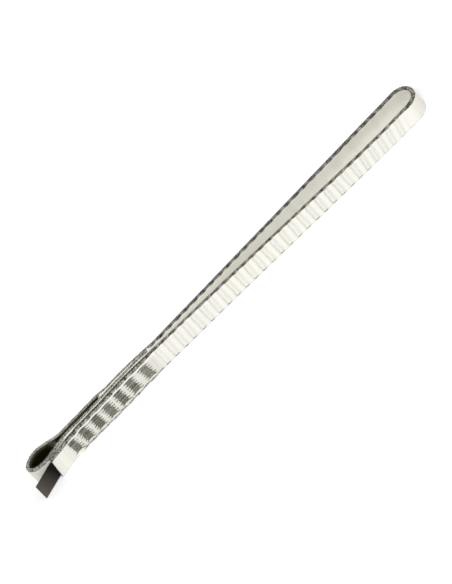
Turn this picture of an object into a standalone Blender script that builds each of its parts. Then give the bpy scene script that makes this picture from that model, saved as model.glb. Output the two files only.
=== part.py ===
"""A sewn quickdraw sling, standing on the edges of its strap, in metres.

One flat strap makes the whole sling. From its free end it runs as the end flap, the front layer of the
sewn section, round the long loop, the back layer, round the small eye, and ends as the middle layer.
Seven bartacks sew the layers together. A liner strip protects the small eye, and a folded label is
caught under the end flap.

The origin is under the middle layer at the fourth bartack, on the surface that the sling stands on.
+X runs along the sewn section towards the long loop, +Y towards the back layer, +Z across the strap.
The strap is divided where it bends, so that each stretch is stiff and turns about an upright axis.
"""

import math

import bmesh
import bpy

# Strap
STRAP_WIDTH = 0.0110
STRAP_THICKNESS = 0.0020
SELVEDGE_CHAMFER = 0.0005
LAYER_GAP = 0.00025

# Sewn section, as distances from the fourth bartack
TACK_PITCH = 0.0079
TACK_PLACE_SHARES = (-2.95, -2.01, -0.99, 0.0, 0.99, 1.95, 3.09)
TACK_LENGTH = 0.0040
TACK_WIDTH = 0.0080
TACK_THICKNESS = 0.0004
TACK_THREADS = 9
THREAD_GROOVE = 0.00015
STITCH_SIDE = 0.0005
STITCHES_IN_A_ROW = 3
STITCH_SINK = 0.00015
NEEDLE_HOLE_GAP = 0.00025
MIDDLE_LAYER_END = 0.0318

# Liner of the small eye
LINER_THICKNESS = 0.0005
LINER_PLY_GAP = 0.0002
LINER_WIDTH = 0.0102
LINER_END = -0.0005

# Small eye
EYE_OUTER_WIDTH = 0.0122
EYE_LENGTH = 0.0218
EYE_ROUND_LENGTH = 0.0078
EYE_OFFSET = 0.0009
EYE_BACK_HANDLE_SHARES = (0.15, 0.58)
EYE_FRONT_HANDLE_SHARES = (0.36, 0.36)

# End flap
FLAP_LENGTH = 0.0120

# Label
LABEL_WIDTH = 0.0096
LABEL_THICKNESS = 0.0006
LABEL_FREE_LENGTH = 0.0133
LABEL_SEAM = 0.0008
LABEL_LIFT = 0.0003
LABEL_SPLAY = math.radians(7.5)

# Long loop
LOOP_REACH = 0.2030
LOOP_OUTER_WIDTH = 0.0166
LOOP_DRIFT = -0.0036
LOOP_HANDLE_SHARES = (0.20, 0.18)

# Joints: the gap, how far the fixed side's rounded end stands past the layers' half thickness, and
# how far past the sewn section's end the small eye and the end flap bend
JOINT_GAP = 0.0003
FORK_MARGIN = 0.00125
NECK_MARGIN = 0.0012
NECK_SETBACK = 0.0013
FLAP_MARGIN = 0.00025
FLAP_SETBACK = 0.0016
LABEL_MARGIN = 0.00015

# Helpers
OVERRUN = 0.0020
BEND_STEPS = 12
RUN_STEPS = 14
LIFT_STEPS = 5
ARC_STEPS = 20

# Places that follow from the sizes above
HALF = STRAP_THICKNESS / 2
LAYER_PITCH = STRAP_THICKNESS + LAYER_GAP
LINER_TAIL_THICKNESS = 2 * LINER_THICKNESS + LINER_PLY_GAP
LINER_LIFT = LINER_TAIL_THICKNESS + LAYER_GAP
LABEL_LIFT_OFF = LABEL_THICKNESS + LAYER_GAP
TACK_PLACES = [share * TACK_PITCH for share in TACK_PLACE_SHARES]
SEWN_START = TACK_PLACES[0] - TACK_LENGTH / 2
LABEL_SEWN_END = TACK_PLACES[0] + TACK_LENGTH / 2 + LABEL_SEAM
MIDDLE_Y = 0.0
NECK = (SEWN_START - NECK_SETBACK, LINER_LIFT / 2 + LAYER_PITCH / 2)
NECK_RADIUS = (LAYER_PITCH + LINER_LIFT) / 2 + HALF + NECK_MARGIN
FORK = (MIDDLE_LAYER_END + JOINT_GAP, MIDDLE_Y)
FORK_RADIUS = LAYER_PITCH + HALF + FORK_MARGIN
FLAP_HINGE = (SEWN_START - FLAP_SETBACK, -LAYER_PITCH - LABEL_LIFT_OFF)
FLAP_REACH = FLAP_LENGTH - FLAP_SETBACK
FLAP_RADIUS = HALF + FLAP_MARGIN
LABEL_RADIUS = LABEL_THICKNESS / 2 + LABEL_MARGIN

COLOURS = {
    "strap": ((0.90, 0.89, 0.85), 0.85),
    "thread": ((0.16, 0.16, 0.14), 0.75),
    "liner": ((0.012, 0.011, 0.010), 0.70),
    "label": ((0.020, 0.020, 0.018), 0.60),
}


def clear_scene():
    for obj in list(bpy.data.objects):
        bpy.data.objects.remove(obj)


def give_material(obj, kind):
    colour, roughness = COLOURS[kind]
    material = bpy.data.materials.new(obj.name)
    material.use_nodes = True
    shader = material.node_tree.nodes["Principled BSDF"]
    shader.inputs["Base Color"].default_value = (*colour, 1)
    shader.inputs["Roughness"].default_value = roughness
    shader.inputs["Metallic"].default_value = 0
    material.diffuse_color = (*colour, 1)
    obj.data.materials.append(material)


def new_object(name, points, faces):
    """An object from points and faces, with all its faces pointing out."""
    mesh = bpy.data.meshes.new(name)
    mesh.from_pydata(points, [], faces)
    shape = bmesh.new()
    shape.from_mesh(mesh)
    bmesh.ops.recalc_face_normals(shape, faces=shape.faces)
    shape.to_mesh(mesh)
    shape.free()
    obj = bpy.data.objects.new(name, mesh)
    bpy.context.scene.collection.objects.link(obj)
    return obj


def bezier(start, start_handle, end_handle, end, steps):
    """Points of a cubic curve, without its first one."""
    points = []
    for step in range(1, steps + 1):
        t = step / steps
        weights = ((1 - t) ** 3, 3 * t * (1 - t) ** 2, 3 * t * t * (1 - t), t**3)
        corners = (start, start_handle, end_handle, end)
        points.append(tuple(sum(w * c[k] for w, c in zip(weights, corners)) for k in (0, 1)))
    return points


def arc(centre, radius, first, last, steps):
    """Points of an arc from the first angle to the last one, both included."""
    return [
        (
            centre[0] + radius * math.cos(first + (last - first) * step / steps),
            centre[1] + radius * math.sin(first + (last - first) * step / steps),
        )
        for step in range(steps + 1)
    ]


def normals_of(path):
    """The unit normal at each point of a plan path, to the left of its direction."""
    normals = []
    for index in range(len(path)):
        before = path[max(index - 1, 0)]
        after = path[min(index + 1, len(path) - 1)]
        along = (after[0] - before[0], after[1] - before[1])
        length = math.hypot(*along)
        normals.append((-along[1] / length, along[0] / length))
    return normals


def shifted(path, distance):
    """The path moved sideways, to its left."""
    return [
        (x + distance * nx, y + distance * ny)
        for (x, y), (nx, ny) in zip(path, normals_of(path))
    ]


def ribbon(name, path, thickness, bottom, top, chamfer, kind):
    """A flat strap that stands on its edge along a plan path, with its four long edges chamfered."""
    half = thickness / 2
    section = [
        (-half, bottom + chamfer),
        (-half, top - chamfer),
        (chamfer - half, top),
        (half - chamfer, top),
        (half, top - chamfer),
        (half, bottom + chamfer),
        (half - chamfer, bottom),
        (chamfer - half, bottom),
    ]
    points = []
    for (x, y), (nx, ny) in zip(path, normals_of(path)):
        points += [(x + side * nx, y + side * ny, z) for side, z in section]
    around = len(section)
    faces = [list(range(around)), list(range(len(points) - around, len(points)))]
    for ring in range(len(path) - 1):
        for corner in range(around):
            following = (corner + 1) % around
            faces.append(
                [
                    ring * around + corner,
                    ring * around + following,
                    (ring + 1) * around + following,
                    (ring + 1) * around + corner,
                ]
            )
    obj = new_object(name, points, faces)
    give_material(obj, kind)
    return obj


def strap_ribbon(name, path):
    return ribbon(name, path, STRAP_THICKNESS, 0, STRAP_WIDTH, SELVEDGE_CHAMFER, "strap")


def hide(cutter):
    cutter.hide_render = True
    cutter.display_type = "WIRE"
    return cutter


def prism(name, outline, bottom, top):
    """A hidden upright prism, used as a cutter."""
    count = len(outline)
    points = [(x, y, bottom) for x, y in outline] + [(x, y, top) for x, y in outline]
    faces = [list(range(count)), list(range(count, 2 * count))]
    for corner in range(count):
        following = (corner + 1) % count
        faces.append([corner, following, count + following, count + corner])
    return hide(new_object(name, points, faces))


def round_cutter(name, axis, radius):
    """Cuts a turning stretch back to a hollow round end about its joint's axis."""
    outline = arc(axis, radius, 0, 2 * math.pi, 2 * ARC_STEPS)[:-1]
    return prism(name, outline, -OVERRUN, STRAP_WIDTH + OVERRUN)


def beyond_cutter(name, axis, radius, angle, reach):
    """Cuts a fixed stretch to a round end: it removes what lies past a circle about the axis."""
    quarter = math.pi / 2
    outline = arc(axis, radius, angle + quarter, angle - quarter, ARC_STEPS)
    for along, side in ((0, -reach), (reach, -reach), (reach, reach), (0, reach)):
        outline.append(
            (
                axis[0] + along * math.cos(angle) - side * math.sin(angle),
                axis[1] + along * math.sin(angle) + side * math.cos(angle),
            )
        )
    return prism(name, outline, -OVERRUN, STRAP_WIDTH + OVERRUN)


def boolean(obj, operation, other):
    modifier = obj.modifiers.new(operation.lower() + "_" + other.name, "BOOLEAN")
    modifier.operation = operation
    modifier.object = other
    modifier.solver = "EXACT"


def box_points(low, high):
    return [
        (x, y, z) for x in (low[0], high[0]) for y in (low[1], high[1]) for z in (low[2], high[2])
    ]


def boxes(name, corners):
    """One object of separate boxes, each given by its low and high corner."""
    sides = ((0, 1, 3, 2), (4, 6, 7, 5), (0, 4, 5, 1), (2, 3, 7, 6), (0, 2, 6, 4), (1, 5, 7, 3))
    points, faces = [], []
    for low, high in corners:
        first = len(points)
        points += box_points(low, high)
        faces += [[first + corner for corner in side] for side in sides]
    return new_object(name, points, faces)


def eased(share):
    return share * share * (3 - 2 * share)


def lift_path(lifted_y, plain_y, lift_end, plain_start):
    """The stretch where a layer comes down off what lies under it, as plan points."""
    return [
        (
            lift_end + (plain_start - lift_end) * step / LIFT_STEPS,
            lifted_y + (plain_y - lifted_y) * eased(step / LIFT_STEPS),
        )
        for step in range(LIFT_STEPS + 1)
    ]


def holds(place, end):
    """Whether the bartack at this place lies over a piece that ends at the given distance."""
    return place - TACK_LENGTH / 2 < end


def step_down(end):
    """The free stretch past a covered piece's end, where a layer comes down to the next bartack."""
    last = max(place for place in TACK_PLACES if holds(place, end)) + TACK_LENGTH / 2
    following = min(place for place in TACK_PLACES if not holds(place, end)) - TACK_LENGTH / 2
    return max(last, end), following


def needle_places():
    """Where the stitches of a bartack pass through the layers, from its centre, along and up."""
    along = TACK_LENGTH / 2 - STITCH_SIDE / 2
    usable = TACK_WIDTH - STITCH_SIDE
    return [
        (end * along, STRAP_WIDTH / 2 + usable * ((row + 0.5) / STITCHES_IN_A_ROW - 0.5))
        for end in (-1, 1)
        for row in range(STITCHES_IN_A_ROW)
    ]


def needle_hole_cutter():
    """All the needle holes of the sewn section, right through every layer."""
    reach = LAYER_PITCH + LINER_LIFT + LABEL_LIFT_OFF + STRAP_THICKNESS
    half = STITCH_SIDE / 2 + NEEDLE_HOLE_GAP
    corners = []
    for place in TACK_PLACES:
        for along, up in needle_places():
            low = (place + along - half, -reach, up - half)
            high = (place + along + half, reach, up + half)
            corners.append((low, high))
    return hide(boxes("needle_holes", corners))


def eye_path():
    """The small eye's strap, from the middle layer's neck round to the back layer's neck."""
    back_neck = (SEWN_START, LAYER_PITCH + LINER_LIFT)
    front_neck = (SEWN_START, MIDDLE_Y)
    centre_y = NECK[1] + EYE_OFFSET
    reach = EYE_OUTER_WIDTH / 2 - HALF
    long_half = EYE_ROUND_LENGTH - HALF
    wide_x = SEWN_START - EYE_LENGTH + EYE_ROUND_LENGTH
    taper = SEWN_START - wide_x
    front_wide = (wide_x, centre_y - reach)
    back_wide = (wide_x, centre_y + reach)
    tip = (wide_x - long_half, centre_y)
    round_share = 4 / 3 * (math.sqrt(2) - 1)
    path = [front_neck]
    near, far = (share * taper for share in EYE_FRONT_HANDLE_SHARES)
    path += bezier(
        front_neck,
        (front_neck[0] - near, front_neck[1]),
        (front_wide[0] + far, front_wide[1]),
        front_wide,
        BEND_STEPS,
    )
    for start, end in ((front_wide, tip), (tip, back_wide)):
        flat, steep = (start, end) if end is tip else (end, start)
        flat_handle = (flat[0] - round_share * long_half, flat[1])
        steep_handle = (steep[0], steep[1] + round_share * (flat[1] - steep[1]))
        handles = (flat_handle, steep_handle) if end is tip else (steep_handle, flat_handle)
        path += bezier(start, *handles, end, BEND_STEPS)
    near, far = (share * taper for share in EYE_BACK_HANDLE_SHARES)
    path += bezier(
        back_wide,
        (back_wide[0] + far, back_wide[1]),
        (back_neck[0] - near, back_neck[1]),
        back_neck,
        BEND_STEPS,
    )
    return path


def loop_path():
    """The long loop's strap, from the front layer at the fork round to the back layer."""
    front_start = (FORK[0], -LAYER_PITCH)
    back_start = (FORK[0], LAYER_PITCH)
    radius = LOOP_OUTER_WIDTH / 2 - HALF
    centre = (LOOP_REACH - LOOP_OUTER_WIDTH / 2, LOOP_DRIFT)
    bottom = (centre[0], centre[1] - radius)
    top = (centre[0], centre[1] + radius)
    near, far = (share * (centre[0] - FORK[0]) for share in LOOP_HANDLE_SHARES)
    path = [front_start]
    path += bezier(
        front_start,
        (front_start[0] + near, front_start[1]),
        (bottom[0] - far, bottom[1]),
        bottom,
        RUN_STEPS,
    )
    path += arc(centre, radius, -math.pi / 2, math.pi / 2, ARC_STEPS)[1:]
    path += bezier(
        top, (top[0] - far, top[1]), (back_start[0] + near, back_start[1]), back_start, RUN_STEPS
    )
    return path


def flap_frame():
    """The end flap's direction, out from its hinge, and the direction from it towards the eye."""
    bulge = NECK[1] + EYE_OFFSET - EYE_OUTER_WIDTH / 2 + HALF
    angle = math.pi + math.atan2(-bulge, FLAP_REACH)
    out = (math.cos(angle), math.sin(angle))
    inward = (out[1], -out[0])
    return angle, out, inward


def on_flap(along, side):
    """A plan point at a distance along the end flap and a distance from its middle towards the eye."""
    _, out, inward = flap_frame()
    return (
        FLAP_HINGE[0] + along * out[0] + side * inward[0],
        FLAP_HINGE[1] + along * out[1] + side * inward[1],
    )


def make_layers(holes):
    """The three layers of the sewn section."""
    eye = eye_path()
    fork_end = FORK[0] + FORK_RADIUS + OVERRUN
    neck_reach = EYE_LENGTH + OVERRUN
    neck_cut = beyond_cutter("neck_end_cutter", NECK, NECK_RADIUS, math.pi, neck_reach)
    fork_cut = beyond_cutter("fork_end_cutter", FORK, FORK_RADIUS, 0, fork_end - FORK[0] + OVERRUN)
    flap_reach = FLAP_RADIUS + 2 * OVERRUN
    flap_cut = beyond_cutter("flap_end_cutter", FLAP_HINGE, FLAP_RADIUS, math.pi, flap_reach)

    lifted, plain = -LAYER_PITCH - LABEL_LIFT_OFF, -LAYER_PITCH
    path = [(FLAP_HINGE[0] - FLAP_RADIUS - OVERRUN, lifted), (SEWN_START, lifted)]
    path += lift_path(lifted, plain, *step_down(LABEL_SEWN_END))
    path += [(FORK[0], plain), (fork_end, plain)]
    front = strap_ribbon("strap_front_layer", path)
    for cutter in (flap_cut, fork_cut, holes):
        boolean(front, "DIFFERENCE", cutter)

    path = eye[: BEND_STEPS + 1][::-1] + [(MIDDLE_LAYER_END, MIDDLE_Y)]
    middle = strap_ribbon("strap_middle_layer", path)
    for cutter in (neck_cut, holes):
        boolean(middle, "DIFFERENCE", cutter)

    lifted, plain = LAYER_PITCH + LINER_LIFT, LAYER_PITCH
    path = eye[-BEND_STEPS - 1 :]
    path += lift_path(lifted, plain, *step_down(LINER_END))
    path += [(FORK[0], plain), (fork_end, plain)]
    back = strap_ribbon("strap_back_layer", path)
    for cutter in (neck_cut, fork_cut, holes):
        boolean(back, "DIFFERENCE", cutter)
    return neck_cut


def make_liner(holes, neck_cut):
    """The liner in the small eye, and its two ends pressed together between the layers."""
    bottom = (STRAP_WIDTH - LINER_WIDTH) / 2
    top = bottom + LINER_WIDTH
    chamfer = LINER_THICKNESS / 4
    depth = HALF + LAYER_GAP + LINER_THICKNESS / 2
    path = shifted(eye_path(), -depth)
    ring = ribbon("eye_liner", path, LINER_THICKNESS, bottom, top, chamfer, "liner")
    boolean(ring, "DIFFERENCE", round_cutter("liner_neck_cutter", NECK, NECK_RADIUS + JOINT_GAP))
    path = [(NECK[0] - NECK_RADIUS - OVERRUN, NECK[1]), NECK, (LINER_END, NECK[1])]
    tail = ribbon("eye_liner_tail", path, LINER_TAIL_THICKNESS, bottom, top, chamfer, "liner")
    for cutter in (neck_cut, holes):
        boolean(tail, "DIFFERENCE", cutter)
    return ring


def make_small_eye():
    eye = strap_ribbon("strap_small_eye", eye_path())
    boolean(eye, "DIFFERENCE", round_cutter("eye_neck_cutter", NECK, NECK_RADIUS + JOINT_GAP))
    return eye


def make_long_loop():
    loop = strap_ribbon("strap_long_loop", loop_path())
    boolean(loop, "DIFFERENCE", round_cutter("loop_fork_cutter", FORK, FORK_RADIUS + JOINT_GAP))
    return loop


def make_end_flap():
    path = [on_flap(0, 0), on_flap(FLAP_REACH, 0)]
    flap = strap_ribbon("strap_end_flap", path)
    boolean(flap, "DIFFERENCE", round_cutter("flap_cutter", FLAP_HINGE, FLAP_RADIUS + JOINT_GAP))
    return flap


def label_side():
    """How far the label's middle lies from the end flap's middle, towards the eye."""
    return HALF + LAYER_GAP + LABEL_THICKNESS / 2


def label_hinge():
    """Where the label leaves the end flap, a thickness and a gap past its end."""
    return on_flap(FLAP_REACH + JOINT_GAP + LABEL_THICKNESS, label_side())


def label_ribbon(name, path):
    chamfer = LABEL_THICKNESS / 4
    return ribbon(name, path, LABEL_THICKNESS, LABEL_LIFT, LABEL_LIFT + LABEL_WIDTH, chamfer, "label")


def make_label(holes):
    """The folded label: sewn under the first bartack, held under the end flap, and its free end."""
    sewn_y = FLAP_HINGE[1] + label_side()
    sewn = label_ribbon("label_sewn_end", [(FLAP_HINGE[0], sewn_y), (LABEL_SEWN_END, sewn_y)])
    boolean(sewn, "DIFFERENCE", holes)
    angle, _, _ = flap_frame()
    hinge = label_hinge()
    past_hinge = FLAP_REACH + JOINT_GAP + LABEL_THICKNESS + LABEL_RADIUS + OVERRUN
    path = [on_flap(JOINT_GAP, label_side()), on_flap(past_hinge, label_side())]
    held = label_ribbon("label_under_flap", path)
    reach = LABEL_RADIUS + 2 * OVERRUN
    end_cut = beyond_cutter("label_end_cutter", hinge, LABEL_RADIUS, angle, reach)
    boolean(held, "DIFFERENCE", end_cut)
    turn = angle + LABEL_SPLAY
    length = LABEL_FREE_LENGTH
    tip = (hinge[0] + length * math.cos(turn), hinge[1] + length * math.sin(turn))
    free = label_ribbon("label_free_end", [hinge, tip])
    boolean(free, "DIFFERENCE", round_cutter("label_cutter", hinge, LABEL_RADIUS + JOINT_GAP))
    return held, free


def pad(name, face_y, outward):
    """A block of thread that lies on a face of the stack, with a groove between its threads."""
    near = face_y + outward * LAYER_GAP
    far = near + outward * TACK_THICKNESS
    groove = far - outward * THREAD_GROOVE
    bottom = (STRAP_WIDTH - TACK_WIDTH) / 2
    pitch = TACK_WIDTH / TACK_THREADS
    outline = [(near, bottom), (near, bottom + TACK_WIDTH), (groove, bottom + TACK_WIDTH)]
    for thread in reversed(range(TACK_THREADS)):
        middle = bottom + (thread + 0.5) * pitch
        outline += [(far, middle + pitch / 4), (far, middle - pitch / 4)]
        outline.append((groove, bottom + thread * pitch))
    count = len(outline)
    half = TACK_LENGTH / 2
    points = [(x, y, z) for x in (-half, half) for y, z in outline]
    faces = [list(range(count)), list(range(count, 2 * count))]
    for corner in range(count):
        following = (corner + 1) % count
        faces.append([corner, following, count + following, count + corner])
    return new_object(name, points, faces)


def make_bartack(number, place):
    """One bartack: a block of thread on each face of the stack, joined by the stitches through it."""
    front_face = -LAYER_PITCH - HALF - (LABEL_LIFT_OFF if holds(place, LABEL_SEWN_END) else 0)
    back_face = LAYER_PITCH + HALF + (LINER_LIFT if holds(place, LINER_END) else 0)
    tack = pad(f"bartack_{number}", front_face, -1)
    other = hide(pad(f"bartack_{number}_back", back_face, 1))
    half = STITCH_SIDE / 2
    low_y = front_face - LAYER_GAP - STITCH_SINK
    high_y = back_face + LAYER_GAP + STITCH_SINK
    stitches = [
        ((along - half, low_y, up - half), (along + half, high_y, up + half))
        for along, up in needle_places()
    ]
    through = hide(boxes(f"bartack_{number}_stitches", stitches))
    boolean(tack, "UNION", through)
    boolean(tack, "UNION", other)
    give_material(tack, "thread")
    for piece in (tack, other, through):
        piece.location = (place, 0, 0)


def hang_on(axis_name, axis, pieces, parent=None):
    """Puts an empty on a joint's axis and moves the pieces' origins to it, leaving them in place."""
    empty = bpy.data.objects.new(axis_name, None)
    empty.empty_display_size = STRAP_WIDTH
    bpy.context.scene.collection.objects.link(empty)
    start = parent.matrix_world.translation.copy() if parent else (0, 0, 0)
    empty.location = (axis[0] - start[0], axis[1] - start[1], 0)
    empty.parent = parent
    bpy.context.view_layer.update()
    for piece in pieces:
        for vertex in piece.data.vertices:
            vertex.co.x -= axis[0]
            vertex.co.y -= axis[1]
        piece.parent = empty
    return empty


def main():
    clear_scene()
    holes = needle_hole_cutter()
    neck_cut = make_layers(holes)
    liner = make_liner(holes, neck_cut)
    eye = make_small_eye()
    loop = make_long_loop()
    flap = make_end_flap()
    held, free = make_label(holes)
    for index, place in enumerate(TACK_PLACES):
        make_bartack(index + 1, place)
    hang_on("small_eye_axis", NECK, [eye, liner])
    hang_on("long_loop_axis", FORK, [loop])
    flap_axis = hang_on("end_flap_axis", FLAP_HINGE, [flap, held])
    hang_on("label_axis", label_hinge(), [free], flap_axis)


main()
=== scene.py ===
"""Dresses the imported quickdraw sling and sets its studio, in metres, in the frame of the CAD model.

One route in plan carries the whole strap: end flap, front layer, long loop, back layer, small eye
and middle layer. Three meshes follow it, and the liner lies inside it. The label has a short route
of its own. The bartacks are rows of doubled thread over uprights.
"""

from collections import namedtuple
from math import atan2, cos, pi, radians, sin, sqrt
from types import SimpleNamespace

import bpy
import numpy as np
from mathutils import Matrix, Vector


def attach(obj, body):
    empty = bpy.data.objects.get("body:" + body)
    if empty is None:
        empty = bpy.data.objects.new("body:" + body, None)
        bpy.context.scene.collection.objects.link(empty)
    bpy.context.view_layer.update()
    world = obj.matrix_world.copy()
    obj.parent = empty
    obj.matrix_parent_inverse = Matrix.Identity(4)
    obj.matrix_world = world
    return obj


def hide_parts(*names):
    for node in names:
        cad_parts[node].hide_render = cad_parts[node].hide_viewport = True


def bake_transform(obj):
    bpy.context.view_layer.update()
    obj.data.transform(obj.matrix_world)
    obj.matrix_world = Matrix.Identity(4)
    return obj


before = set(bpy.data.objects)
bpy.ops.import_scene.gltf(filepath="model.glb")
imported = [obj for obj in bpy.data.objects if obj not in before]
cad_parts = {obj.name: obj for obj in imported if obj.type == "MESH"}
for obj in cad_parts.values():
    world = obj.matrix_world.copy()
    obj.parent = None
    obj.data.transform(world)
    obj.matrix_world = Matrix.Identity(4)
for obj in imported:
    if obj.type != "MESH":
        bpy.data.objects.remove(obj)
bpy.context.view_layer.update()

MM = 0.001

# Sizes of the CAD model
STRAP_WIDTH = 11.0 * MM
STRAP_THICKNESS = 2.0 * MM
HALF = STRAP_THICKNESS / 2
LAYER_PITCH = 2.25 * MM
LINER_PUSH = 1.45 * MM
LABEL_PUSH = 0.85 * MM
TACK_PITCH = 7.9 * MM
FIRST_TACK = -2.95 * TACK_PITCH
TACK_LENGTH = 4.0 * MM
SEWN_START = FIRST_TACK - TACK_LENGTH / 2
MIDDLE_LAYER_END = 31.8 * MM
LINER_END = -0.5 * MM
LINER_WIDTH = 10.2 * MM
EYE_OUTER_WIDTH = 12.2 * MM
EYE_ROUND_LENGTH = 7.8 * MM
EYE_OFFSET = 0.9 * MM
EYE_BACK_HANDLE_SHARES = (0.15, 0.58)
EYE_FRONT_HANDLE_SHARES = (0.36, 0.36)
LABEL_SEWN_END = -20.505 * MM
LABEL_HINGE_GAP = 0.9 * MM
LABEL_SPLAY = radians(7.5)
LOOP_OUTER_WIDTH = 16.6 * MM
LOOP_DRIFT = -3.6 * MM
LOOP_HANDLE_SHARES = (0.2, 0.18)
NECK_Y = 1.85 * MM
FORK_X = 32.1 * MM
FLAP_HINGE = (-26.905 * MM, -3.1 * MM)
FLAP_REACH = 10.4 * MM

# Where the front layer comes down off the label, and the back layer off the liner's tail
FRONT_STEP = (-21.0 * MM, -16.6 * MM)
BACK_STEP = (6.5 * MM, -2.0 * MM)

# Sizes of the photographed sling, which differ a little from those of the CAD model
VISUAL_THICKNESS = 2.1 * MM
EYE_LENGTH = 22.2 * MM
LOOP_REACH = 203.2 * MM
LABEL_WIDTH = 8.5 * MM
LABEL_LIFT = 0.84 * MM
LABEL_FREE_LENGTH = 12.6 * MM
TACK_WIDTH = 7.4 * MM
TACK_CENTRES = np.array((-23.75, -16.15, -8.2, -0.55, 7.3, 14.8, 24.1)) * MM
TACK_MIDDLE = 5.27 * MM
TACK_SKEW = 0.35 * MM
ROWS = 6
ROW_PITCH = TACK_WIDTH / ROWS

# The sewn section bows a little towards the back, and its layers press together
BOW, BOW_PLACE, BOW_SPREAD = 1.0 * MM, 13.0 * MM, 17.0 * MM
PRESSED = 0.94
SQUARE_EDGE = 0.25

# How far each layer is shifted to the back: pairs of a place along the sling and a shift, in mm
SETTLE_FRONT = (
    (-40, 0.9), (-34, 0.8), (-28, 0.6), (-23, 1.25), (-18, 1.15), (-12, 0.75), (-8, 0.95), (-3, 0.55),
    (4, 0.65), (19, 0.65), (25, 0.55), (30, 0.45), (36, 0.35), (46, 0), (165, 0), (178, 0.28),
    (189, 0.75), (199, 1.0), (204, 0.5),
)
SETTLE_MIDDLE = (
    (-40, 0.2), (-34, 0.35), (-32, 0.35), (-29.5, 0.2), (-28, 0.2), (-23, 1.0), (-18, 1.0), (-12, 0.75),
    (-8, 0.75), (-3, 0.5), (4, 0.48), (12, 0.45), (19, 0.55), (25, 0.8), (30, 1.0),
)
SETTLE_BACK = (
    (-43.6, -0.5), (-42.2, -0.2), (-40.5, 0.05), (-38.1, 0.43), (-35.4, 0.25), (-33.5, 0),
    (-31.7, 0.03), (-29.8, 0.28), (-28, 0.5), (-26, 0.62), (-23.4, 0.5), (-20, 0.62), (-18, 0.65),
    (-12, 0.4), (-8, 0.45), (-3, 0.2), (4, 0.3), (12, 0.35), (19, 0.3), (25, 0.2), (30, 0), (36, -0.5),
    (46, -0.2), (165, 0), (189, 0), (199, 0.3), (204, 0.5),
)
SETTLE_SPREAD = 1.0 * MM
FAR_HANDOVER = 9 * MM
EYE_HANDOVER = 7 * MM

# How far the lower edge stands out to the front: pairs of a place and a lean, in mm. The back run
# leans further by its own table, and starts between the two y places.
LEAN = (
    (-38, 1.3), (-28, 0.9), (-19, 1.6), (-4, 2), (4, 2.5), (12, 2.8), (19, 2.5), (29, 1.8),
    (40, 1.3), (60, 0.9), (95, 0.3), (150, -0.5), (165, -0.8), (178, -0.7), (189, -0.3), (199, 0.1),
    (204, 0),
)
BACK_RUN_LEAN = ((90, 0), (150, 1), (165, 0.3), (178, -0.3), (195, -0.6), (204, 0))
BACK_RUN_Y = (-7, 1)

# The route is cut in even steps, and its corners are rounded off by a spread
ROUTE_STEP = 0.1 * MM
ROUTE_SPREAD = 0.9 * MM
EYE_STEPS, RUN_STEPS, BEND_STEPS, EASE_STEPS = 40, 120, 80, 24

# The thin dark lines across the loop's outer face, from the fork on: shallow grooves with painted shade
# on them
RIDGE_PITCH = 5.613 * MM
FIRST_RIDGE = 44.5 * MM
EARLY_RIDGES = (29.3 * MM, 32.8 * MM, 38.5 * MM)
LINES = np.array([*EARLY_RIDGES, *(FIRST_RIDGE + RIDGE_PITCH * k for k in range(34))])
RIDGE_FADE = (186.0 * MM, 194.0 * MM)

# From one line to the next, as shares of the way, and heights in mm
WEAK_CREST, WEAK_CREST_WIDTH, WEAK_CREST_HEIGHT = 0.2, 0.08, 0.16
TROUGH, TROUGH_WIDTH = 0.39, 0.11
CREST, CREST_HEIGHT = (0.7, 0.8), 0.3
GROOVE_WIDTH, GROOVE_DEPTH, LINE_WIDTH = 0.06, 0.1, 0.07

# Sewn section: depths and heights in mm, and how dark the dull gaps between the bartacks are
HOLLOW_DEPTH, RIB_HEIGHT, FAINT_RIB_HEIGHT, PUFF_HEIGHT = 0.22, 0.17, 0.05, 0.32
RIB_REACH, RIB_REACH_SPREAD, RIB_END = 2.3 * MM, 1.1 * MM, 1.1 * MM
FIRST_RIBS_SHORTER, FIRST_RIBS_STRENGTH = 0.8 * MM, 0.4
GAP_DULLNESS = 0.21
TOP_ROW_STRENGTHS = np.array((0.0, 0.12, 0.5, 0.45, 0.18, 0.12, 0.32, 0.15))

# Folds across the flap: places in mm, and depths as shares of the deepest one's
FLAP_FOLDS = ((-36.2, 0.5), (-34.1, 1.0), (-29.3, 0.8), (-27.6, 0.6))
FOLD_WIDTH = 0.55 * MM
FOLD_DEPTH = 0.07 * MM
FLAP_END_OUT, FLAP_END_SLANT, FLAP_END_REACH = 0.25 * MM, 1.1 * MM, 8 * MM

# The selvedges' twisted edge
TWIST_PITCH = 1.45 * MM
TWIST_LEAN = 2.6 * MM
TWIST_HEIGHT = 0.07 * MM

# How far the selvedges' dark threads reach over the loop's outer face: a place and a reach, in mm
OUTER_REACH = (
    (38, 1.27), (48, 1.02), (75, 1.22), (112, 1.1), (150, 1.27), (190, 1.27), (197, 1.75),
    (204, 2.0),
)


def clamp01(value):
    return np.clip(value, 0.0, 1.0)


def smooth(low, high, value):
    share = clamp01((value - low) / (high - low))
    return share * share * (3 - 2 * share)


def over(low, high, value):
    """From 0 to 1 as the value passes from one limit to the other, both in mm."""
    return smooth(low * MM, high * MM, value)


def under(low, high, value):
    return 1 - over(low, high, value)


def passing(centre, reach, value):
    """From 0 to 1 as the value passes a centre, over a reach to each side of it."""
    return smooth(centre - reach, centre + reach, value)


def bump(value, centre, width):
    return np.exp(-(((value - centre) / width) ** 2))


def tack_skew(height):
    """How far towards the eye a bartack leans at a height."""
    return TACK_SKEW * (height - TACK_MIDDLE) / (TACK_WIDTH / 2)


def at_places(table, x):
    """Reads a table of places and values, in mm, at other places."""
    return np.interp(x / MM, *zip(*table))


# ---- route of the strap


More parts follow.
